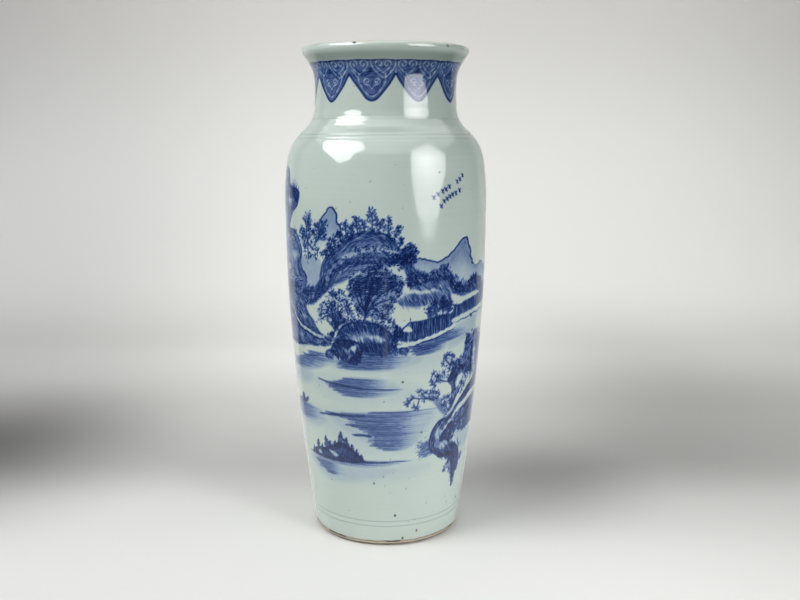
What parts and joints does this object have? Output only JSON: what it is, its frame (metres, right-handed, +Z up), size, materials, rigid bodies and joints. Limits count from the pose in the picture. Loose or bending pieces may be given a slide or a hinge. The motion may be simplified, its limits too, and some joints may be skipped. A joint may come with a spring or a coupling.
{
  "type": "cylindrical vase",
  "caption": "Tall glazed porcelain vase with a gently tapering cylindrical body, a rounded shoulder, a short neck with a rolled flaring lip and a flat foot ring.",
  "frame": {"origin": "centre of the foot, on the plane that the foot ring stands on", "axes": "+Z up along the vase's axis; -Y faces the viewer of the picture"},
  "size_m": [0.1864, 0.1864, 0.45],
  "materials": {
    "glazed_porcelain": "glossy pale blue-green white glaze over underglaze cobalt painting",
    "fired_slip": "matt fired porcelain slip"
  },
  "bodies": {
    "root": {"foot_section": "glazed_porcelain", "middle_section": "glazed_porcelain", "shoulder_section": "glazed_porcelain", "neck_section": "glazed_porcelain", "lower_slip_joint": "fired_slip", "upper_slip_joint": "fired_slip", "neck_slip_joint": "fired_slip"}
  },
  "joints": []
}
